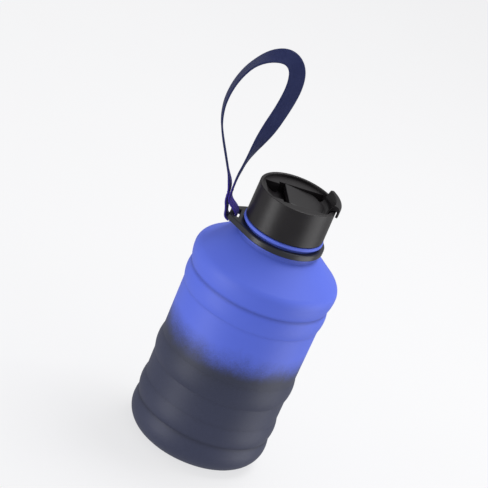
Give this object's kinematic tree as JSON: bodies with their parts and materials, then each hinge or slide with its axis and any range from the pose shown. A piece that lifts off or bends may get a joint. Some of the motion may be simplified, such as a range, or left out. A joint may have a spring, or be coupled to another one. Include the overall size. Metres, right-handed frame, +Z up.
{
  "type": "water bottle",
  "caption": "Rigid ribbed steel jug with a screw cap, a folding drink lid with a thumb tab, a turning strap collar and a woven carry strap.",
  "frame": {"origin": "centre of the foot's resting ring, on the surface it stands on", "axes": "+Z up the jug's axis; -X towards the strap's ear; the lid's thumb tab is 16 degrees from +X towards +Y"},
  "size_m": [0.1274, 0.1078, 0.3014],
  "materials": {
    "coated_shell": "matte two-tone powder coat, blue above, slate below",
    "bare_steel": "brushed",
    "black_plastic": "fine-textured black",
    "webbing": "navy woven webbing",
    "thread": "navy thread",
    "silicone": "translucent grey silicone"
  },
  "bodies": {
    "bottle": {"bottle_shell": "coated_shell", "base_plate": "bare_steel", "neck_finish": "bare_steel"},
    "collar": {"strap_collar": "black_plastic"},
    "strap": {"carry_strap": "webbing", "strap_stitching": "thread"},
    "seal": {"cap_seal": "silicone"},
    "cap": {"screw_cap": "black_plastic", "cap_liner": "black_plastic", "lid_hinge_pin": "bare_steel"},
    "lid": {"flip_lid": "black_plastic", "spout_stopper": "silicone"}
  },
  "joints": [
    {"name": "collar_spin", "type": "hinge", "parent": "bottle", "child": "collar", "pos_m": [0, 0, 0.1764], "axis": [0, 0, 1], "continuous": true},
    {"name": "strap_swing", "type": "hinge", "parent": "collar", "child": "strap", "pos_m": [-0.03765, 0, 0.1764], "axis": [0, 1, 0], "range_deg": [-105, 0]},
    {"name": "cap_lift", "type": "slide", "parent": "bottle", "child": "seal", "axis": [0, 0, 1], "range_m": [0, 0.00601]},
    {"name": "cap_turn", "type": "hinge", "parent": "seal", "child": "cap", "pos_m": [0, 0, 0.196], "axis": [0, 0, 1], "range_deg": [0, 540]},
    {"name": "lid_flip", "type": "hinge", "parent": "cap", "child": "lid", "pos_m": [-0.00529, -0.00152, 0.20472], "axis": [0.2756, -0.9613, 0], "range_deg": [0, 115]}
  ],
  "couplings": [
    {"joint": "cap_lift", "follows": "cap_turn", "m_per_rad": 0.00063662}
  ]
}
